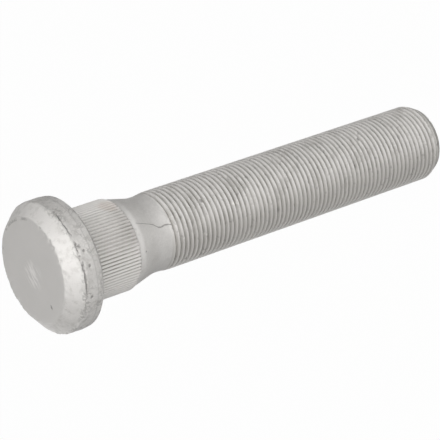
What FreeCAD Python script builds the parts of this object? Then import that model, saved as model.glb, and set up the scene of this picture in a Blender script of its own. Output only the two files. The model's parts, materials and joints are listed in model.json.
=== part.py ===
# Press-in wheel bolt for a commercial vehicle hub: one forged and rolled steel piece.
# From the top down it has a round chamfered head, a serrated shoulder that bites into the
# hub flange, a waisted neck and a long shank for a fine thread. It stands on its threaded end.
# Lengths are in millimetres, +Z runs up the axis to the head, and z = 0 is the end of the shank.
import FreeCAD, Part
import math
import os

# Head
head_d = 36.2
head_height = 9.7
face_d = 28.8
head_chamfer_height = 3.7
face_edge_round = 0.5
rim_edge_round = 0.4
rim_taper = 0.2
rim_taper_height = 2.1
seat_chamfer = 0.3
seat_fillet = 0.9

# Serrated shoulder, with teeth that stand proud of a plain body
shoulder_length = 17.6
shoulder_taper = 0.15
shoulder_edge_round = 1.2
serration_d = 25.4
serration_count = 80
serration_depth = 0.5
serration_root_step = 0.05
serration_land = 0.24
serration_length = 15.0
serration_end_slope = 45.0

# Neck, left at the diameter of the blank, and the flare up to the crests of the rolled thread
cone_length = 6.0
neck_length = 2.1
neck_fillet = 10.0
flare_length = 4.1
flare_fillet = 20.0

# Thread, modelled by its crest cylinder
thread_nominal_d = 22.0
thread_allowance = 0.2
thread_pitch = 1.5
thread_length = 93.9
end_chamfer_length = 2.6
end_face_d = 19.1

# Pitch diameter of a metric thread, below its nominal diameter, for each millimetre of pitch
PITCH_DIAMETER_DROP = 0.6495
# Most of a line that the round at either of its ends may take up
ROUND_SHARE = 0.49

# Sizes that follow from those above
crest_r = (thread_nominal_d - thread_allowance) / 2
neck_r = (thread_nominal_d - PITCH_DIAMETER_DROP * thread_pitch) / 2
rim_rear_r = head_d / 2 - rim_taper
tooth_tip_r = serration_d / 2
tooth_root_r = tooth_tip_r - serration_depth
shoulder_r = tooth_root_r - serration_root_step
neck_z = thread_length + flare_length
cone_z = neck_z + neck_length
shoulder_z = cone_z + cone_length
seat_z = shoulder_z + shoulder_length
face_z = seat_z + head_height
teeth_top_z = seat_z - seat_fillet
teeth_bottom_z = teeth_top_z - serration_length


def rounded_outline(corners):
    """Edges through corners given as (radius, height, round), each corner cut by a tangent arc."""
    points = [FreeCAD.Vector(r, 0, z) for r, z, _ in corners]
    edges = []
    start = points[0]
    for before, corner, after, (_, _, radius) in zip(points, points[1:], points[2:], corners[1:]):
        way_in = corner - before
        way_out = after - corner
        turn = way_in.getAngle(way_out)
        if radius > 0 and turn > 0:
            room = ROUND_SHARE * min(way_in.Length, way_out.Length)
            cut = min(radius * math.tan(turn / 2), room)
            toward = FreeCAD.Vector(way_in).normalize()
            away = FreeCAD.Vector(way_out).normalize()
            arc_start = corner - toward * cut
            arc_end = corner + away * cut
            bisector = (away - toward).normalize()
            depth = cut * (1 / math.cos(turn / 2) - 1) / math.tan(turn / 2)
            edges.append(Part.LineSegment(start, arc_start).toShape())
            edges.append(Part.Arc(arc_start, corner + bisector * depth, arc_end).toShape())
            start = arc_end
        else:
            edges.append(Part.LineSegment(start, corner).toShape())
            start = corner
    edges.append(Part.LineSegment(start, points[-1]).toShape())
    return edges


def turned(corners):
    """A solid turned about the Z axis from corners that start and end on the axis."""
    edges = rounded_outline(corners)
    first = FreeCAD.Vector(0, 0, corners[0][1])
    last = FreeCAD.Vector(0, 0, corners[-1][1])
    edges.append(Part.LineSegment(last, first).toShape())
    face = Part.Face(Part.Wire(edges))
    return face.revolve(FreeCAD.Vector(0, 0, 0), FreeCAD.Vector(0, 0, 1), 360)


def plain_blank():
    """Head, shoulder, neck and shank as one turned form, without the serrations."""
    return turned([
        (0, 0, 0),
        (end_face_d / 2, 0, 0),
        (crest_r, end_chamfer_length, 0),
        (crest_r, thread_length, flare_fillet),
        (neck_r, neck_z, flare_fillet),
        (neck_r, cone_z, neck_fillet),
        (shoulder_r - shoulder_taper, shoulder_z, shoulder_edge_round),
        (shoulder_r, teeth_bottom_z, 0),
        (shoulder_r, seat_z, seat_fillet),
        (rim_rear_r - seat_chamfer, seat_z, 0),
        (rim_rear_r, seat_z + seat_chamfer, 0),
        (head_d / 2, seat_z + rim_taper_height, 0),
        (head_d / 2, face_z - head_chamfer_height, rim_edge_round),
        (face_d / 2, face_z, face_edge_round),
        (0, face_z, 0),
    ])


def serrations():
    """A ring of straight V teeth with flat lands, sloped off to the shoulder at both ends."""
    half_land = serration_land / 2 / tooth_tip_r
    step = 2 * math.pi / serration_count
    points = []
    for i in range(serration_count):
        tooth = i * step
        for angle, r in (
            (tooth - step / 2, tooth_root_r),
            (tooth - half_land, tooth_tip_r),
            (tooth + half_land, tooth_tip_r),
        ):
            points.append(FreeCAD.Vector(r * math.cos(angle), r * math.sin(angle), teeth_bottom_z))
    outline = Part.makePolygon(points + points[:1])
    teeth = Part.Face(outline).extrude(FreeCAD.Vector(0, 0, serration_length))
    slope_height = (tooth_tip_r - shoulder_r) / math.tan(math.radians(serration_end_slope))
    ends = turned([
        (0, teeth_bottom_z, 0),
        (shoulder_r, teeth_bottom_z, 0),
        (tooth_tip_r, teeth_bottom_z + slope_height, 0),
        (tooth_tip_r, teeth_top_z - slope_height, 0),
        (shoulder_r, teeth_top_z, 0),
        (0, teeth_top_z, 0),
    ])
    return teeth.common(ends)


def wheel_bolt():
    bolt = plain_blank().fuse(serrations())
    return bolt.removeSplitter()


def main():
    os.makedirs("parts", exist_ok=True)
    bolt = wheel_bolt()
    solid = bolt.Solids[0]
    solid.exportStep("parts/wheel_bolt.step")
    print("solids", len(bolt.Solids), "valid", solid.isValid(), "volume mm3", round(solid.Volume, 1),
          "faces", len(solid.Faces), "box", solid.BoundBox)


main()
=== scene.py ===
import bpy
import json
import math
from collections import namedtuple
from functools import reduce
from mathutils import Matrix, Vector


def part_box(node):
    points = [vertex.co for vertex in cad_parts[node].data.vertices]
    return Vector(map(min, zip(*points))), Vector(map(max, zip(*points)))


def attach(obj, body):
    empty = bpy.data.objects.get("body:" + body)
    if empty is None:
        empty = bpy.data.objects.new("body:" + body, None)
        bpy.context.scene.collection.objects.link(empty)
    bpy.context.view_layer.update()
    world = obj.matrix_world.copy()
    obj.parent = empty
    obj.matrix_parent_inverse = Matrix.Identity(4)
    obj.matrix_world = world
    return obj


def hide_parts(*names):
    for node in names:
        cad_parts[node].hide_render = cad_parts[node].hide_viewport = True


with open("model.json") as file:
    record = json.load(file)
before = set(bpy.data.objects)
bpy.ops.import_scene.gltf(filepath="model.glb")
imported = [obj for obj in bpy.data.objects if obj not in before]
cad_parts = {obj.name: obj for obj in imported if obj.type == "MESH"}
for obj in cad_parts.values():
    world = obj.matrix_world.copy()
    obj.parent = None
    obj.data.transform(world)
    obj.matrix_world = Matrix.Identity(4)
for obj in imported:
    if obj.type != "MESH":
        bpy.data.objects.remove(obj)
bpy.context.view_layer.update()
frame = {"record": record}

# Sizes that the frame gives, in millimetres, with the visual kept a skin inside the solid's box
MM = 0.001
SKIN = 0.002
mounts = {mount["name"]: mount for mount in frame["record"]["mounts"]}
low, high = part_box("wheel_bolt")
face_z = high.z / MM - SKIN
head_r = high.x / MM - SKIN
crest_r = mounts["thread"]["dims"]["r_mm"]
seat_z = mounts["seat"]["pos_m"][2] / MM

# Head
head_chamfer_height = 3.7
face_r = 14.4
face_offset = (0.55, 0.15)
face_edge_round = 0.5
rim_edge_round = 0.4
rim_taper = 0.2
rim_taper_height = 2.1
seat_chamfer = 0.3
seat_fillet = 0.9

# Serrated shoulder
tooth_count = 80
tooth_tip_r = 12.7
tooth_depth = 0.5
tooth_land = 0.24
tooth_length = 15.0
tooth_end_slope = 0.55
shoulder_r = 12.15
shoulder_taper = 0.15
shoulder_length = 17.6
shoulder_edge_round = 0.9

# Neck
cone_length = 6.0
neck_length = 2.1
neck_r = 10.51
neck_fillet = 10.0
flare_length = 4.1

# Thread, where the start, the crest and the root are shares of one pitch
pitch = 1.5
thread_depth = 0.92
thread_start = 0.134
crest_share = 0.24
root_share = 0.14
first_groove = 1.6
groove_onset = 1.6
end_chamfer_length = 2.6
end_face_r = 9.55

# Heights along the bolt
rim_edge_z = face_z - head_chamfer_height
taper_z = seat_z + rim_taper_height
teeth_top_z = seat_z - seat_fillet
teeth_bottom_z = teeth_top_z - tooth_length
shoulder_z = seat_z - shoulder_length
cone_z = shoulder_z - cone_length
thread_top_z = cone_z - neck_length
groove_top_z = thread_top_z - first_groove

# Mesh of the bolt: columns to a tooth, rows to a turn of thread and turns cut off at its ends
COLUMNS_PER_TOOTH = 3
ROWS_PER_TURN = 4
SPARE_TURNS = 2

# Spacing of points along the outline, in millimetres, and the turn between points of its rounds
FINE = 0.36
MIDDLE = 0.7
COARSE = 1.8
OUTLINE_TURN = math.radians(12)

# How near points join, in millimetres, and the angle from which an edge is shaded sharp
WELD = 0.002
JOIN = 0.03
SHARP_EDGE = math.radians(38)

# Depth and width of the wear, in millimetres
FORGING_WAVE = 0.16
TOOTH_FADE = 0.4
TOOTH_RUN = 0.8
LAP_DEPTH = 0.3
LAP_WIDTH = 0.42
LAP_DRIFT = 2.4
LAP_DROP = 0.5
LAP_FLANK = (-0.05, 0.25)
CHIP_DEPTH = 0.3
NICK_DEPTH = 0.15
PIT_DEPTH = 0.15
CRACK_WIDTH = 0.16
RIDGE_FLANK = (0.22, 0.05)
FACE_EDGE_REACH = 0.8
RIM_DENT_REACH = 0.6
RIM_CHIP_REACH = 0.7
REAR_EDGE_REACH = 0.7
# Reach and rise of the painted contact shadow in the corner under the head
CORNER_REACH = 0.4
CORNER_RISE = 0.1

# Marks on the visible side, with angles in degrees and heights in millimetres
LAP_STRETCHES = ((-58, 18), (-83, 7), (-104, 14), (-119, 8))
CRACK_RUN = ((106.4, -73.5), (104.0, -76.5), (102.4, -78.8), (100.9, -81.5), (99.6, -87.2), (98.7, -88.2),
             (97.6, -87.0), (96.7, -87.5), (95.4, -90.0))
CRACK_WIDENS = (102.4, 99.6)

# Pits and a rust bloom, each an angle, a height, its distance from the axis and its half width
PITS = (
    (-82, 128.6, head_r, 0.65),
    (-87, 127.6, head_r, 0.6),
    (-90.5, 129.3, head_r, 0.5),
    (-100, 127.2, head_r, 0.5),
    (-127, 127.6, head_r, 0.5),
    (-164, face_z, 10.4, 0.75),
    (-112, 105.8, 12.0, 0.4),
    (-71, 84.0, crest_r, 0.7),
    (-58, 26.8, crest_r, 0.7),
    (-58.5, 66.8, crest_r, 0.8),
    (-80, 55.4, crest_r, 0.6),
    (-133, 69.7, crest_r, 0.8),
    (-153, 90.9, crest_r, 0.6),
)
RUST_BLOOM = (-36, 110.5, tooth_tip_r, 3.0)

# Stretches round the bolt, each a middle angle and a half width, and the part of it that is full
SMEARED_TEETH = (-72, 36)
# Painted highlight on the band, strongest where it faces the lamps
LIT_BAND_SHEEN = (-88, 48)
GRIMY_HEAD = (-178, 62)
# Painted shade on the thread and the teeth on the side away from the lamps
SHADED_THREAD_SIDE = (-150, 60)
SHADED_TEETH_SIDE = (-168, 50)
CHIPPED_FACE_EDGE = (0, 30)
CHIPPED_REAR_EDGE = (-85, 45)
STRETCH_CORE = 1 / 3

# Scuffed patch on the face: its middle, its reach and core, and the way and stretch of its scratches
SCUFF_PLACE = (-0.7, 0.6)
SCUFF_REACH = 5.0
SCUFF_CORE = 1.5
SCUFF_WAY = (-0.95, -0.3)
SCUFF_STRETCH = 0.22

# Fades, each two distances up or out from an edge: where it starts and where it is full
FACE_FADE = (-0.35, -0.1)
HEAD_FADE = (0.0, 0.5)
RIM_FADE = (-1.0, -0.5)
LAP_FADE = (-1.6, -0.9)
CHAMFER_FADE = (0.0, 0.5)
WAVE_FADE = (rim_taper_height, 4.0)
FACE_WAVE_FADE = (-1.0, 0.0)
LAND_FADE = (-0.35, -0.1)
CREST_FADE = (-0.4, -0.1)
BAND_FADE = (-0.5, 0.5)
BAND_TOP_FADE = (0.4, 0.0)
TOOTH_END_FADE = (6.0, 1.5)
# Fade of the painted contact shadow in the corner under the head
CORNER_FADE = (-0.8, 0.0)
CONE_FADE = (0.0, 2.5)
CONE_TOP_FADE = (0.2, -0.6)

# Noises, each its spacing in millimetres, seed, detail and roughness, with values round the middle
NOISE_MIDDLE = 0.5
HEAD_WAVES = (5.0, 3.0, 2.0, 0.5)
LAP_BREAKS = (3.0, 8.0, 3.0, 0.5)
LAP_WANDER = (1.8, 9.0, 4.0, 0.55)
CHIPS = (1.5, 11.0, 3.0, 0.5)
PIT_EDGES = (0.8, 11.0, 2.0, 0.5)
NICKS = (1.3, 5.0, 1.0, 0.5)
CLOUDS = (6.0, 21.0, 5.0, 0.6)
GRAIN = (0.5, 24.0, 3.0, 0.6)
MOTTLES = (1.7, 14.0, 4.0, 0.65)
SOIL_PATCHES = (3.0, 31.0, 3.0, 0.5)
STAINS = (5.0, 33.0, 5.0, 0.65)
CRAZE_LINES = (1.5, 17.0, 2.0, 0.5)
CRAZE_PATCHES = (5.0, 18.0, 2.0, 0.5)
CRACK_EDGES = (1.0, 17.0, 2.0, 0.5)
SCRATCHES = (0.8, 27.0, 2.0, 0.5)

# Limits, each the value of a noise, depth or nearness where wear, dirt or painted shade starts to show and
# where it is full
LAP_LIMITS = (0.56, 0.84)
DENT_LIMITS = (0.45, 0.65)
CHIP_LIMITS = (0.52, 0.62)
REAR_CHIP_LIMITS = (0.3, 0.5)
NICK_LIMITS = (0.64, 0.74)
CLOUD_LIMITS = (0.35, 0.65)
MOTTLE_LIMITS = (0.5, 0.72)
MOTTLED_SHEEN_LIMITS = (1.2, 0.2)
SOIL_LIMITS = (0.2, 0.7)
STAIN_LIMITS = (0.5, 0.68)
CRAZE_LINE_LIMITS = (0.06, 0.01)
CRAZE_PATCH_LIMITS = (0.4, 0.55)
CRACK_EDGE_LIMITS = (0.3, 0.6)
SCRATCH_LIMITS = (0.48, 0.6)
# Depths in the grooves where dirt together with painted shade starts and is full
THREAD_SOIL_AND_SHADE_LIMITS = (0.42, 0.95)
TOOTH_SOIL_AND_SHADE_LIMITS = (0.5, 1.0)
EDGE_LIMITS = (0.3, 0.8)
REAR_EDGE_LIMITS = (0.2, 0.7)

# What the listed stretches of laps and the chipped edge add to a noise
LAP_HELP = 0.27
CHIP_HELP = 0.1

# Spots and the crack: how ragged a spot is, and the shares of a width at a core or at its thinnest
SPOT_RAGGED = 2.0
SPOT_CORE = 0.4
CRACK_THIN = 0.5
CRACK_CORE = 0.3

# Shares of the wear and of the painted shade and highlights, where 0 is none and 1 is full
# Painted highlight on the chamfer and the band, with the share the band keeps away from the lamps
HEAD_SHEEN = 0.65
BAND_SHEEN_REST = 0.3
LAND_SMEAR = 0.6
# Crests worn bright, partly real wear and partly a painted highlight
CREST_RUB_AND_SHEEN = 0.8
GRIMY_RIM_RUB = 0.4
# Dirt together with painted shade in the thread's grooves
THREAD_SOIL_AND_SHADE = 0.8
TOOTH_SMEAR = 0.7
TOOTH_END_SOIL = 0.6
TOOTH_END_DULL = 0.14
HEAD_SOIL = 0.3
HEAD_GRIME = 0.1
# Slight darkening of the cone below the band
CONE_DARKENING = 0.07
# Painted shade on the side away from the lamps, and the share of it on the teeth
SIDE_SHADE = 0.3
SHADED_TEETH_SHARE = 0.5
STAIN_SOIL = 0.36
RUST_SHARE = 0.3
EDGE_DARK = 0.7
REAR_EDGE_DARK = 0.75
CRAZE_DARK = 0.7
RIDGE_DARK = 0.35
NICK_DARK = 0.5
STEEL_SHARE = 0.62

# Finish
DULL_ZINC = (0.51, 0.496, 0.478, 1)
BRIGHT_ZINC = (0.66, 0.643, 0.622, 1)
# Dark colour of dirt together with painted shade and a painted contact shadow
SOIL_AND_SHADE = (0.19, 0.178, 0.146, 1)
BARE_STEEL = (0.14, 0.135, 0.13, 1)
# Pale zinc of worn places, also laid on as a painted highlight on the chamfer, band, lands and crests
RUBBED_ZINC_AND_SHEEN = (0.74, 0.722, 0.70, 1)
RUST = (0.46, 0.36, 0.30, 1)
METALLIC = 0.2
ROUGHNESS = 0.6
GRAIN_ROUGHNESS = 0.25
DARK_ROUGHNESS = 0.15
RUBBED_POLISH = 0.08
CLOUD_PART = 0.6
FACE_CALM = 0.8
GRAIN_RELIEF = 0.35
CLOUD_RELIEF = 0.3
MOTTLE_RELIEF = 0.5
FACE_FLATNESS = 0.7
BUMP_STRENGTH = 0.6
BUMP_HEIGHT = 0.12

# Floor and surroundings, in metres
WHITE = (1, 1, 1, 1)
FLOOR_COLOUR = (0.3, 0.3, 0.3, 1)
FLOOR_HALF = 3.0
FLOOR_GAP = 0.00002
FLOOR_WHITE = 0.985
SKY_LEVEL = 0.06

# Soft lights, each its direction from the bolt and its power, with their distance and width in metres
LAMPS = {
    "front": ((0, -0.83, 0.55), 3.5),
    "overhead": ((0.1, -0.38, 0.91), 2.3),
    "low": ((0.2, -0.97, 0.1), 3.0),
    "left": ((-0.56, -0.74, 0.36), 0.8),
    "behind": ((-0.35, 0.9, 0.15), 2.0),
}
LAMP_DISTANCE = 0.9
LAMP_WIDTH = 0.55

# Camera: its place, sensor and lens in millimetres, its angles in degrees and its far limit in metres
CAMERA_PLACE = (-2.98, -549.53, 439.82)
CAMERA_ELEVATION = 33.69
CAMERA_ROLL = -109.1
CAMERA_LENS = 199.0
CAMERA_SENSOR = 36
CAMERA_FAR = 100

# Numbers of the sockets of a Mix node that carry colours
MIX_UNDER = 6
MIX_OVER = 7
MIX_RESULT = 2

# A place on the bolt, and the parts of the bolt
Where = namedtuple("Where", "place radius height angle")
Regions = namedtuple("Regions", "face head rim teeth thread")


class Value:
    """One socket of a node tree. Arithmetic on it adds Math nodes to that tree."""

    def __init__(self, tree, socket=None):
        self.tree = tree
        self.socket = socket

    def node(self, kind, settings=None, sockets=None, out=0):
        """Adds a node with its settings and its sockets' values or links, and gives one of its outputs."""
        node = self.tree.nodes.new(kind)
        for name, setting in (settings or {}).items():
            setattr(node, name, setting)
        for name, value in (sockets or {}).items():
            for part in value if isinstance(value, list) else [value]:
                if isinstance(part, Value):
                    self.tree.links.new(part.socket, node.inputs[name])
                else:
                    node.inputs[name].default_value = part
        return Value(self.tree, node.outputs[out])

    def output(self, name):
        """Another output of the same node."""
        return Value(self.tree, self.socket.node.outputs[name])

    def math(self, operation, *others):
        """A Math node whose first number is this one."""
        return self.node("ShaderNodeMath", {"operation": operation}, dict(enumerate((self, *others))))

    def after(self, operation, number):
        """A Math node whose first number is a plain one and whose second is this one."""
        return self.node("ShaderNodeMath", {"operation": operation}, {0: number, 1: self})

    def __add__(self, other):
        return self.math("ADD", other)

    def __radd__(self, other):
        return self.after("ADD", other)

    def __sub__(self, other):
        return self.math("SUBTRACT", other)

    def __rsub__(self, other):
        return self.after("SUBTRACT", other)

    def __mul__(self, other):
        return self.math("MULTIPLY", other)

    def __rmul__(self, other):
        return self.after("MULTIPLY", other)

    def __truediv__(self, other):
        return self.math("DIVIDE", other)

    def __rtruediv__(self, other):
        return self.after("DIVIDE", other)

    def __mod__(self, other):
        return self.math("FLOORED_MODULO", other)

    def __lt__(self, other):
        return self.math("LESS_THAN", other)

    def __gt__(self, other):
        return self.math("GREATER_THAN", other)

    def floor(self):
        return self.math("FLOOR")

    def size(self):
        return self.math("ABSOLUTE")

    def root(self):
        return self.math("SQRT")

    def least(self, other):
        return self.math("MINIMUM", other)

    def most(self, other):
        return self.math("MAXIMUM", other)

    def ramp(self, start, end, smooth=False):
        """0 at start, 1 at end, and between them a straight or a smooth rise."""
        kind = "SMOOTHSTEP" if smooth else "LINEAR"
        ends = {"From Min": start, "From Max": end, "Value": self}
        return self.node("ShaderNodeMapRange", {"interpolation_type": kind}, ends)


def most_of(values):
    """The greatest of several values at each place."""
    return reduce(Value.most, values)


def span(edge, fade):
    """Both ends of a fade that is given as distances up or out from an edge."""
    return edge + fade[0], edge + fade[1]


def rounded(corners):
    """Points of an outline through (radius, height, round, spacing) corners, with an arc at each round."""
    points = [Vector((r, z)) for r, z, _, _ in corners]
    outline = [points[0]]
    for before, corner, after, (_, _, radius, spacing) in zip(points, points[1:], points[2:], corners[1:]):
        toward = (corner - before).normalized()
        away = (after - corner).normalized()
        turn = toward.angle_signed(away)
        cut = radius * math.tan(abs(turn) / 2)
        centre = corner + (away - toward).normalized() * math.hypot(radius, cut)
        spoke = corner - toward * cut - centre
        run_to(outline, centre + spoke, spacing)
        steps = max(math.ceil(abs(turn) / OUTLINE_TURN), math.ceil(radius * abs(turn) / spacing))
        for i in range(1, steps + 1 if radius else 1):
            outline.append(centre + Matrix.Rotation(-turn * i / steps, 2) @ spoke)
    run_to(outline, points[-1], corners[-1][3])
    return outline


def run_to(outline, end, spacing):
    """Adds evenly spaced points from the outline's last point to end."""
    start = outline[-1]
    pieces = math.ceil((end - start).length / spacing)
    for i in range(1, pieces + 1):
        outline.append(start.lerp(end, i / pieces))


def blank_outline():
    """The forged blank from the thread's top over the head to the middle of its face, as a row of points."""
    points = rounded([
        (neck_r, thread_top_z, 0, COARSE),
        (neck_r, cone_z, neck_fillet, MIDDLE),
        (shoulder_r - shoulder_taper, shoulder_z, shoulder_edge_round, MIDDLE),
        (shoulder_r, teeth_bottom_z, 0, MIDDLE),
        (tooth_tip_r, teeth_bottom_z + tooth_end_slope, 0, MIDDLE),
        (tooth_tip_r, teeth_top_z - tooth_end_slope, 0, MIDDLE),
        (shoulder_r, teeth_top_z, 0, MIDDLE),
        (shoulder_r, seat_z, seat_fillet, MIDDLE),
        (head_r - rim_taper - seat_chamfer, seat_z, 0, COARSE),
        (head_r - rim_taper, seat_z + seat_chamfer, 0, MIDDLE),
        (head_r, taper_z, 0, MIDDLE),
        (head_r, rim_edge_z, rim_edge_round, FINE),
        (face_r, face_z, face_edge_round, FINE),
        (0, face_z, 0, COARSE),
    ])
    mesh = bpy.data.meshes.new("blank_outline")
    mesh.from_pydata([(p.x, 0, p.y) for p in points], [], [])
    outline = bpy.data.objects.new("blank_outline", mesh)
    bpy.context.scene.collection.objects.link(outline)
    return outline


def socket_type(value):
    """The kind of named input that a size, an object or a material needs."""
    if isinstance(value, bpy.types.Object):
        return "NodeSocketObject"
    if isinstance(value, bpy.types.Material):
        return "NodeSocketMaterial"
    return "NodeSocketInt" if isinstance(value, int) else "NodeSocketFloat"


def strip(net, columns, rows):
    """A grid of columns and rows: its mesh, with the column and the row of each of its points."""
    grid = net.node("GeometryNodeMeshGrid", {}, {"Vertices X": columns + 1, "Vertices Y": rows})
    index = net.node("GeometryNodeInputIndex")
    column = (index / rows).floor()
    return grid, column, index - column * rows


def wrapped(mesh, angle, radius, height, shift=0.0):
    """The strip with its points set round the axis, or off it by a share of the face's offset."""
    x = radius * angle.math("COSINE") + shift * face_offset[0]
    y = radius * angle.math("SINE") + shift * face_offset[1]
    position = angle.node("ShaderNodeCombineXYZ", {}, {"X": x, "Y": y, "Z": height})
    return mesh.node("GeometryNodeSetPosition", {}, {"Geometry": mesh, "Position": position})


def column_angle(column, size):
    """Each tooth has three columns: 0 on its root, and 1 and 2 on the edges of its land."""
    step = math.tau / size["Teeth"]
    half_land = size["Tooth land"] / 2 / size["Tooth tip radius"]
    tooth = (column / COLUMNS_PER_TOOTH).floor()
    edge = column - tooth * COLUMNS_PER_TOOTH
    is_root = edge < 0.5
    angle = tooth * step + (2 * edge - 3) * half_land * (1 - is_root) - is_root * step / 2
    return angle, is_root


def thread_strip(net, size):
    """Each row is a helix: 0 and 1 of a turn are the edges of its crest, and 2 and 3 those of its root."""
    columns = size["Teeth"] * COLUMNS_PER_TOOTH
    turns = (size["Thread top"] / size["Pitch"]).math("CEIL") + SPARE_TURNS
    mesh, column, row = strip(net, columns, turns * ROWS_PER_TURN)
    angle, _ = column_angle(column, size)
    turn = (row / ROWS_PER_TURN).floor()
    edge = row - turn * ROWS_PER_TURN
    on_root = edge > 1.5
    crest_edge = (edge - 0.5) * size["Crest share"]
    root_edge = 0.5 + (edge - 2.5) * size["Root share"]
    along = turn - SPARE_TURNS / 2 + crest_edge * (1 - on_root) + root_edge * on_root
    lead = angle / math.tau + size["Thread start"]
    height = ((along + lead) * size["Pitch"]).most(0).least(size["Thread top"])
    height = height * (height > JOIN)
    from_crest = (((height / size["Pitch"] - lead + 0.5) % 1) - 0.5).size()
    cut = from_crest.ramp(size["Crest share"] / 2, 0.5 - size["Root share"] / 2)
    flare = height.ramp(size["Thread top"], size["Thread top"] - size["Flare length"], True)
    crest = size["Neck radius"] + (size["Crest radius"] - size["Neck radius"]) * flare
    first = size["Thread top"] - size["First groove"]
    rolled = crest - size["Thread depth"] * cut * height.ramp(first, first - size["Groove onset"])
    chamfer = height.ramp(0, size["End chamfer"])
    end_cone = size["End face radius"] + (size["Crest radius"] - size["End face radius"]) * chamfer
    return wrapped(mesh, angle, rolled.least(end_cone), height)


def blank_strip(net, size):
    """The outline turned about the axis, with grooves between teeth whose lower ends run out unevenly."""
    outline = net.node("GeometryNodeObjectInfo", {}, {"Object": size["Outline"]}, "Geometry")
    count = net.node("GeometryNodeAttributeDomainSize", {"component": "MESH"}, {"Geometry": outline})
    columns = size["Teeth"] * COLUMNS_PER_TOOTH
    mesh, column, row = strip(net, columns, count)
    angle, is_root = column_angle(column, size)
    position = net.node("GeometryNodeInputPosition")
    sample = {"Geometry": outline, "Value": position, "Index": row}
    point = net.node("GeometryNodeSampleIndex", {"data_type": "FLOAT_VECTOR"}, sample)
    radius = net.node("ShaderNodeSeparateXYZ", {}, {"Vector": point})
    height = radius.output("Z")
    tooth = (column / COLUMNS_PER_TOOTH).floor() % size["Teeth"]
    uneven = net.node("ShaderNodeTexWhiteNoise", {"noise_dimensions": "1D"}, {"W": tooth})
    tooth_end = size["Teeth bottom"] + size["Tooth end slope"]
    above = height.ramp(size["Teeth bottom"], tooth_end + uneven * TOOTH_FADE)
    below = height.ramp(size["Teeth top"], size["Teeth top"] - size["Tooth end slope"])
    groove = is_root * size["Tooth depth"] * above * below
    near_end = height.ramp(shoulder_z, size["Teeth bottom"]) * height.ramp(tooth_end, size["Teeth bottom"])
    ragged = height - (1 - is_root) * near_end * uneven * TOOTH_RUN
    return wrapped(mesh, angle, radius - groove, ragged, height.ramp(rim_edge_z, face_z))


def end_cap(net, size):
    """The flat end of the shank, from its middle to the ring where the thread's chamfer starts."""
    mesh, column, row = strip(net, size["Teeth"] * COLUMNS_PER_TOOTH, 2)
    angle, _ = column_angle(column, size)
    return wrapped(mesh, angle, row * size["End face radius"], 0.0)


def where(place):
    """A place in millimetres, with its distance from the axis, its height and its angle round the axis."""
    x = place.node("ShaderNodeSeparateXYZ", {}, {"Vector": place})
    y = x.output("Y")
    return Where(place, (x * x + y * y).root(), x.output("Z"), y.math("ARCTAN2", x))


def noise(place, recipe):
    """Smooth random values whose features are about one spacing apart."""
    spacing, seed, detail, rough = recipe
    sockets = {"Vector": place, "W": seed, "Scale": 1 / spacing, "Detail": detail, "Roughness": rough}
    return place.node("ShaderNodeTexNoise", {"noise_dimensions": "4D"}, sockets)


def facing(angle, middle, half):
    """1 in the core of a stretch round the bolt, fading to 0 at its half width, in degrees."""
    nearness = (angle - math.radians(middle)).math("COSINE")
    core = half * STRETCH_CORE
    return nearness.ramp(math.cos(math.radians(half)), math.cos(math.radians(core)), True)


def near_edge(at, edge_r, edge_z, reach):
    """1 on a circular edge of the head, fading to 0 at its reach."""
    out = at.radius - edge_r
    up = at.height - edge_z
    return 1 - (out * out + up * up).root().ramp(0, reach, True)


def spot(place, degrees, height, radius, reach, ragged):
    """1 at an angle, height and distance from the axis, fading to 0 at a ragged reach."""
    turn = math.radians(degrees)
    middle = (radius * math.cos(turn), radius * math.sin(turn), height)
    away = place.node("ShaderNodeVectorMath", {"operation": "DISTANCE"}, {0: place, 1: middle}, "Value")
    uneven = (ragged - NOISE_MIDDLE) * reach * SPOT_RAGGED
    return (away + uneven).ramp(reach, reach * SPOT_CORE, True)


def laps(at):
    """Ragged folds that forging left behind the edge of the chamfer: 1 in a fold and 0 beside it."""
    found = noise(at.place, LAP_BREAKS)
    for stretch in LAP_STRETCHES:
        found = found + facing(at.angle, *stretch) * LAP_HELP
    drift = (noise(at.place, LAP_WANDER) - NOISE_MIDDLE) * LAP_DRIFT
    off = (at.height - (rim_edge_z - LAP_DROP) - drift).size()
    inside = found.ramp(*LAP_LIMITS) * LAP_WIDTH - off
    return inside.ramp(*LAP_FLANK) * at.radius.ramp(*span(head_r, LAP_FADE))


def pits(at):
    """1 in each of the listed pits and 0 beside them."""
    ragged = noise(at.place, PIT_EDGES)
    return most_of([spot(at.place, *pit, ragged) for pit in PITS])


def nicks(at):
    """Small knocks on the thread: 1 in a knock and 0 beside it."""
    return noise(at.place, NICKS).ramp(*NICK_LIMITS) * (at.height < groove_top_z)


def knocks(at):
    """Depth of the dents that forging and handling leave, in millimetres."""
    on_head = at.height.ramp(*span(seat_z, WAVE_FADE)) * at.radius.ramp(*span(face_r, FACE_WAVE_FADE), True)
    waves = on_head * noise(at.place, HEAD_WAVES) * FORGING_WAVE
    rim_edge = near_edge(at, head_r, rim_edge_z, RIM_DENT_REACH)
    edges = near_edge(at, face_r, face_z, FACE_EDGE_REACH).most(rim_edge)
    dents = edges * noise(at.place, CHIPS).ramp(*DENT_LIMITS) * CHIP_DEPTH
    return waves + laps(at) * LAP_DEPTH + dents + nicks(at) * NICK_DEPTH + pits(at) * PIT_DEPTH


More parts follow.
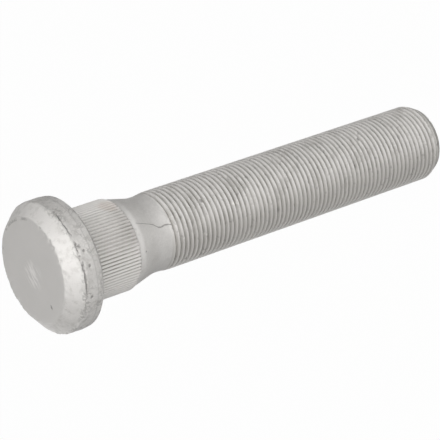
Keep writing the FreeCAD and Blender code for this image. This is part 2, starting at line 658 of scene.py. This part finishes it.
def bolt_tree(sizes):
    """Geometry nodes that roll the teeth and the thread into the turned blank."""
    tree = bpy.data.node_groups.new("rolled_wheel_bolt", "GeometryNodeTree")
    for name, value in sizes.items():
        tree.interface.new_socket(name, in_out="INPUT", socket_type=socket_type(value))
    tree.interface.new_socket("Geometry", in_out="OUTPUT", socket_type="NodeSocketGeometry")
    entry = tree.nodes.new("NodeGroupInput")
    size = {name: Value(tree, entry.outputs[name]) for name in sizes}
    net = Value(tree)
    strips = [end_cap(net, size), thread_strip(net, size), blank_strip(net, size)]
    joined = net.node("GeometryNodeJoinGeometry", {}, {"Geometry": strips})
    welded = net.node("GeometryNodeMergeByDistance", {}, {"Geometry": joined, "Distance": WELD})
    depth = knocks(where(net.node("GeometryNodeInputPosition")))
    normal = net.node("GeometryNodeInputNormal")
    inward = net.node("ShaderNodeVectorMath", {"operation": "SCALE"}, {0: normal, "Scale": 0 - depth})
    worn = net.node("GeometryNodeSetPosition", {}, {"Geometry": welded, "Offset": inward})
    smooth = net.node("GeometryNodeSetShadeSmooth", {}, {"Geometry": worn, "Shade Smooth": True})
    sharp = net.node("GeometryNodeInputMeshEdgeAngle") > SHARP_EDGE
    edges = {"Geometry": smooth, "Selection": sharp, "Shade Smooth": False}
    crisp = net.node("GeometryNodeSetShadeSmooth", {"domain": "EDGE"}, edges)
    metres = net.node("GeometryNodeTransform", {}, {"Geometry": crisp, "Scale": (MM, MM, MM)})
    whole = net.node("GeometryNodeRealizeInstances", {}, {"Geometry": metres})
    coated = net.node("GeometryNodeSetMaterial", {}, {"Geometry": whole, "Material": size["Coating"]})
    leave = tree.nodes.new("NodeGroupOutput")
    tree.links.new(coated.socket, leave.inputs["Geometry"])
    return tree


def made_by_nodes(name, sizes):
    """A plain mesh object from the bolt's node tree."""
    tree = bolt_tree(sizes)
    carrier = bpy.data.objects.new(name + "_carrier", bpy.data.meshes.new(name + "_carrier"))
    bpy.context.scene.collection.objects.link(carrier)
    modifier = carrier.modifiers.new("roll", "NODES")
    modifier.node_group = tree
    for item in tree.interface.items_tree:
        if item.in_out == "INPUT":
            modifier[item.identifier] = sizes[item.name]
    evaluated = carrier.evaluated_get(bpy.context.evaluated_depsgraph_get())
    mesh = bpy.data.meshes.new_from_object(evaluated)
    carrier.modifiers.remove(modifier)
    bpy.data.objects.remove(carrier)
    mesh.name = name
    piece = bpy.data.objects.new(name, mesh)
    bpy.context.scene.collection.objects.link(piece)
    return piece


def regions(at):
    """The bolt's face, head, rim, teeth and thread, each 1 on it and 0 off it."""
    face = at.height.ramp(*span(face_z, FACE_FADE))
    head = at.height.ramp(*span(seat_z, HEAD_FADE)) * (1 - face)
    rim = head * at.radius.ramp(*span(head_r, RIM_FADE))
    teeth = (at.height > teeth_bottom_z) * (at.height < teeth_top_z)
    thread = at.height < groove_top_z
    return Regions(face, head, rim, teeth, thread)


def crack(at):
    """A hairline split that wanders along the neck: 1 in the split and 0 beside it."""
    uneven = CRACK_THIN + noise(at.place, CRACK_EDGES).ramp(*CRACK_EDGE_LIMITS)
    width = CRACK_WIDTH * uneven * (CRACK_THIN + at.height.ramp(*CRACK_WIDENS))
    pieces = []
    for (top, top_angle), (bottom, bottom_angle) in zip(CRACK_RUN, CRACK_RUN[1:]):
        share = (at.height - bottom) / (top - bottom)
        middle = math.radians(bottom_angle) + share * math.radians(top_angle - bottom_angle)
        off = (at.angle - middle).size() * at.radius
        inside = (at.height < top) * (at.height > bottom)
        pieces.append(off.ramp(width, width * CRACK_CORE) * inside)
    return most_of(pieces)


def scuffs(place):
    """Fine parallel scratches in a soft patch near the middle of the face: 1 in a scratch and 0 beside it."""
    x = place.node("ShaderNodeSeparateXYZ", {}, {"Vector": place})
    from_x = x - SCUFF_PLACE[0]
    from_y = x.output("Y") - SCUFF_PLACE[1]
    along = from_x * SCUFF_WAY[0] + from_y * SCUFF_WAY[1]
    across = from_x * SCUFF_WAY[1] - from_y * SCUFF_WAY[0]
    stretched = x.node("ShaderNodeCombineXYZ", {}, {"X": along * SCUFF_STRETCH, "Y": across})
    patch = (along * along + across * across).root().ramp(SCUFF_REACH, SCUFF_CORE, True)
    return noise(stretched, SCRATCHES).ramp(*SCRATCH_LIMITS) * patch


def rubbing_and_sheen(at, on, mottle):
    """How far the surface is laid over with the pale colour: a painted highlight on the band and the chamfer,
    wear together with painted highlight on the lands and crests, and real wear on the rim and the scuffed
    patch.
    """
    # Painted highlight on the band below the teeth, strongest where it faces the lamps
    band = at.height.ramp(*span(shoulder_z, BAND_FADE)) * at.height.ramp(*span(teeth_bottom_z, BAND_TOP_FADE))
    band = band * (BAND_SHEEN_REST + facing(at.angle, *LIT_BAND_SHEEN) * (1 - BAND_SHEEN_REST))
    grimy = facing(at.angle, *GRIMY_HEAD)
    # Painted highlight on the chamfer, left out in the grimy stretch round the head
    chamfer = on.head * at.height.ramp(*span(rim_edge_z, CHAMFER_FADE)) * (1 - grimy)
    # Lands and crests worn bright, partly real wear and partly a painted highlight
    lands = on.teeth * at.radius.ramp(*span(tooth_tip_r, LAND_FADE))
    crests = on.thread * at.radius.ramp(*span(crest_r, CREST_FADE))
    return most_of([
        chamfer.most(band * mottle.ramp(*MOTTLED_SHEEN_LIMITS)) * HEAD_SHEEN,
        lands * (1 - facing(at.angle, *SMEARED_TEETH) * LAND_SMEAR),
        crests * CREST_RUB_AND_SHEEN,
        scuffs(at.place) * on.face,
        on.rim * grimy * GRIMY_RIM_RUB,
    ])


def soil_and_shade(at, on, mottle):
    """How much dirt and painted shade darken the bolt: dirt with painted shade in the grooves, a painted
    contact shadow under the head, painted shade on the side away from the lamps, dirt on the head, stains on
    the thread, and a slight darkening of the cone.
    """
    smeared = facing(at.angle, *SMEARED_TEETH)
    tooth_ends = on.teeth * at.height.ramp(*span(teeth_bottom_z, TOOTH_END_FADE), True) * smeared
    # Dirt together with painted shade deep in the thread's grooves and between the teeth
    in_thread = ((crest_r - at.radius) / thread_depth).ramp(*THREAD_SOIL_AND_SHADE_LIMITS, True) * on.thread
    between = ((tooth_tip_r - at.radius) / tooth_depth).ramp(*TOOTH_SOIL_AND_SHADE_LIMITS, True) * on.teeth
    between = between * (1 - smeared * TOOTH_SMEAR + tooth_ends * TOOTH_END_SOIL)
    # Painted contact shadow in the corner under the head
    under_head = (at.radius < tooth_tip_r + CORNER_REACH) * (at.height < seat_z + CORNER_RISE)
    corner = at.height.ramp(*span(teeth_top_z, CORNER_FADE)) * under_head
    patches = noise(at.place, SOIL_PATCHES).ramp(*SOIL_LIMITS)
    # Slight darkening of the cone below the band
    cone = at.height.ramp(*span(cone_z, CONE_FADE), True) * at.height.ramp(*span(shoulder_z, CONE_TOP_FADE))
    # Painted shade on the thread and the teeth on the side away from the lamps
    thread_side = facing(at.angle, *SHADED_THREAD_SIDE) * on.thread
    tooth_side = facing(at.angle, *SHADED_TEETH_SIDE) * on.teeth * SHADED_TEETH_SHARE
    return most_of([
        most_of([in_thread * THREAD_SOIL_AND_SHADE, between, corner]) * patches,
        mottle * on.head * (HEAD_SOIL + facing(at.angle, *GRIMY_HEAD) * HEAD_GRIME),
        cone * CONE_DARKENING,
        (thread_side + tooth_side) * SIDE_SHADE,
        noise(at.place, STAINS).ramp(*STAIN_LIMITS) * on.thread * STAIN_SOIL,
        tooth_ends * TOOTH_END_DULL,
    ])


def dark_marks(at, on):
    """Laps, the crack, pits, chipped edges, crazing and knocks: 1 where dark steel shows and 0 beside it."""
    craze = (noise(at.place, CRAZE_LINES) - NOISE_MIDDLE).size().ramp(*CRAZE_LINE_LIMITS)
    crazed = craze * noise(at.place, CRAZE_PATCHES).ramp(*CRAZE_PATCH_LIMITS) * on.rim
    ridge = (at.height - taper_z).size().ramp(*RIDGE_FLANK) * on.rim
    chips = noise(at.place, CHIPS)
    chipped = (chips + facing(at.angle, *CHIPPED_FACE_EDGE) * CHIP_HELP).ramp(*CHIP_LIMITS)
    rim_edge = near_edge(at, head_r, rim_edge_z, RIM_CHIP_REACH)
    edges = near_edge(at, face_r, face_z, FACE_EDGE_REACH).most(rim_edge)
    rear_edge = near_edge(at, head_r - rim_taper, seat_z + seat_chamfer / 2, REAR_EDGE_REACH)
    rear_chips = chips.ramp(*REAR_CHIP_LIMITS) * facing(at.angle, *CHIPPED_REAR_EDGE)
    return most_of([
        laps(at),
        crack(at),
        pits(at),
        edges.ramp(*EDGE_LIMITS) * chipped * EDGE_DARK,
        rear_edge.ramp(*REAR_EDGE_LIMITS) * rear_chips.most(chipped) * REAR_EDGE_DARK,
        crazed * CRAZE_DARK,
        ridge * RIDGE_DARK,
        nicks(at) * NICK_DARK,
    ])


def mixed(share, under, over):
    """The under colour, with the over colour laid on it by a share."""
    sockets = {0: share, MIX_UNDER: under, MIX_OVER: over}
    return share.node("ShaderNodeMix", {"data_type": "RGBA"}, sockets, MIX_RESULT)


def coating():
    """Matte grey zinc flake on forged steel, with dirt and painted shade in its grooves, a painted contact
    shadow under the head, painted shade on the side away from the lamps, painted highlights on the chamfer
    and the band, lands and crests worn bright and partly painted bright, and chipped and worn along its
    edges.
    """
    material = bpy.data.materials.new("zinc_flake")
    material.use_nodes = True
    tree = material.node_tree
    net = Value(tree)
    metres = net.node("ShaderNodeTexCoord", out="Object")
    at = where(net.node("ShaderNodeVectorMath", {"operation": "SCALE"}, {0: metres, "Scale": 1 / MM}))
    on = regions(at)
    clouds = noise(at.place, CLOUDS)
    grain = noise(at.place, GRAIN)
    mottle = noise(at.place, MOTTLES).ramp(*MOTTLE_LIMITS)
    tone = clouds * CLOUD_PART + grain * (1 - CLOUD_PART) - NOISE_MIDDLE
    tone = NOISE_MIDDLE + tone * (1 - on.face * FACE_CALM)
    rub_and_sheen = rubbing_and_sheen(at, on, mottle)
    dark = dark_marks(at, on)
    colour = mixed(tone.ramp(*CLOUD_LIMITS), DULL_ZINC, BRIGHT_ZINC)
    # Wear and painted highlights laid on in one pale zinc colour
    colour = mixed(rub_and_sheen, colour, RUBBED_ZINC_AND_SHEEN)
    # Dirt, stains, painted shade and a painted contact shadow laid on in one dark colour
    colour = mixed(soil_and_shade(at, on, mottle), colour, SOIL_AND_SHADE)
    colour = mixed(spot(at.place, *RUST_BLOOM, clouds) * RUST_SHARE, colour, RUST)
    colour = mixed(dark * STEEL_SHARE, colour, BARE_STEEL)
    rough = ROUGHNESS + (grain - NOISE_MIDDLE) * GRAIN_ROUGHNESS
    rough = rough + dark * DARK_ROUGHNESS - rub_and_sheen * RUBBED_POLISH
    relief = (grain * GRAIN_RELIEF + clouds * CLOUD_RELIEF) * (1 - on.face * FACE_FLATNESS)
    relief = relief - dark - mottle * on.head * MOTTLE_RELIEF
    height = {"Strength": BUMP_STRENGTH, "Distance": BUMP_HEIGHT * MM, "Height": relief}
    bump = net.node("ShaderNodeBump", {}, height)
    shader = tree.nodes["Principled BSDF"]
    shader.inputs["Metallic"].default_value = METALLIC
    tree.links.new(colour.socket, shader.inputs["Base Color"])
    tree.links.new(rough.socket, shader.inputs["Roughness"])
    tree.links.new(bump.socket, shader.inputs["Normal"])
    return material


def white_to_camera(surface, share):
    """Shows the surface as white to the camera and in reflections, and leaves it as it is to other light."""
    seen = surface.node("ShaderNodeLightPath", out="Is Camera Ray")
    seen = most_of([seen, seen.output("Is Glossy Ray"), seen.output("Is Transmission Ray")])
    kind = "ShaderNodeBackground" if surface.socket.node.type == "BACKGROUND" else "ShaderNodeEmission"
    white = surface.node(kind, {}, {"Color": WHITE, "Strength": 1.0})
    return surface.node("ShaderNodeMixShader", {}, {0: seen * share, 1: surface, 2: white})


def pale_floor():
    """A matte floor that the camera sees as almost white, so that it still takes the bolt's shadow."""
    material = bpy.data.materials.new("pale_floor")
    material.use_nodes = True
    tree = material.node_tree
    tree.nodes.clear()
    matte = Value(tree).node("ShaderNodeBsdfDiffuse", {}, {"Color": FLOOR_COLOUR})
    leave = tree.nodes.new("ShaderNodeOutputMaterial")
    tree.links.new(white_to_camera(matte, FLOOR_WHITE).socket, leave.inputs["Surface"])
    mesh = bpy.data.meshes.new("floor")
    ways = ((-1, -1), (1, -1), (1, 1), (-1, 1))
    corners = [(x * FLOOR_HALF, y * FLOOR_HALF, low.z - FLOOR_GAP) for x, y in ways]
    mesh.from_pydata(corners, [], [(0, 1, 2, 3)])
    mesh.materials.append(material)
    floor = bpy.data.objects.new("floor", mesh)
    bpy.context.scene.collection.objects.link(floor)
    return floor


def white_surrounding():
    """A dim even sky that the camera sees as white."""
    world = bpy.data.worlds.new("studio")
    bpy.context.scene.world = world
    world.use_nodes = True
    tree = world.node_tree
    tree.nodes.clear()
    sky = Value(tree).node("ShaderNodeBackground", {}, {"Color": WHITE, "Strength": SKY_LEVEL})
    leave = tree.nodes.new("ShaderNodeOutputWorld")
    tree.links.new(white_to_camera(sky, 1.0).socket, leave.inputs["Surface"])


def softbox(name, direction, power):
    """A square soft light that faces the middle of the bolt from a direction."""
    light = bpy.data.lights.new(name, "AREA")
    light.size = LAMP_WIDTH
    light.energy = power
    lamp = bpy.data.objects.new(name, light)
    bpy.context.scene.collection.objects.link(lamp)
    aim = Vector((0, 0, face_z * MM / 2))
    away = Vector(direction).normalized()
    turned = away.to_track_quat("Z", "Y").to_matrix().to_4x4()
    lamp.matrix_world = Matrix.Translation(aim + away * LAMP_DISTANCE) @ turned


def camera():
    """The photograph's camera, rolled so that the bolt's head comes to the lower left."""
    data = bpy.data.cameras.new("camera")
    data.sensor_width = CAMERA_SENSOR
    data.lens = CAMERA_LENS
    data.clip_end = CAMERA_FAR
    eye = bpy.data.objects.new("camera", data)
    bpy.context.scene.collection.objects.link(eye)
    tilt = Matrix.Rotation(math.radians(90 - CAMERA_ELEVATION), 4, "X")
    roll = Matrix.Rotation(math.radians(CAMERA_ROLL), 4, "Z")
    eye.matrix_world = Matrix.Translation(Vector(CAMERA_PLACE) * MM) @ tilt @ roll
    bpy.context.scene.camera = eye


outline = blank_outline()
bolt = made_by_nodes("rolled_bolt", {
    "Outline": outline,
    "Coating": coating(),
    "Teeth": tooth_count,
    "Tooth tip radius": tooth_tip_r,
    "Tooth depth": tooth_depth,
    "Tooth land": tooth_land,
    "Teeth bottom": teeth_bottom_z,
    "Teeth top": teeth_top_z,
    "Tooth end slope": tooth_end_slope,
    "Pitch": pitch,
    "Crest radius": crest_r,
    "Thread depth": thread_depth,
    "Crest share": crest_share,
    "Root share": root_share,
    "Thread start": thread_start,
    "Thread top": thread_top_z,
    "Flare length": flare_length,
    "First groove": first_groove,
    "Groove onset": groove_onset,
    "Neck radius": neck_r,
    "End chamfer": end_chamfer_length,
    "End face radius": end_face_r,
})
bpy.data.objects.remove(outline)
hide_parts("wheel_bolt")
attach(bolt, "root")

floor = pale_floor()
white_surrounding()
for name, (direction, power) in LAMPS.items():
    softbox(name, direction, power)
camera()

bpy.context.scene.view_settings.view_transform = "Standard"
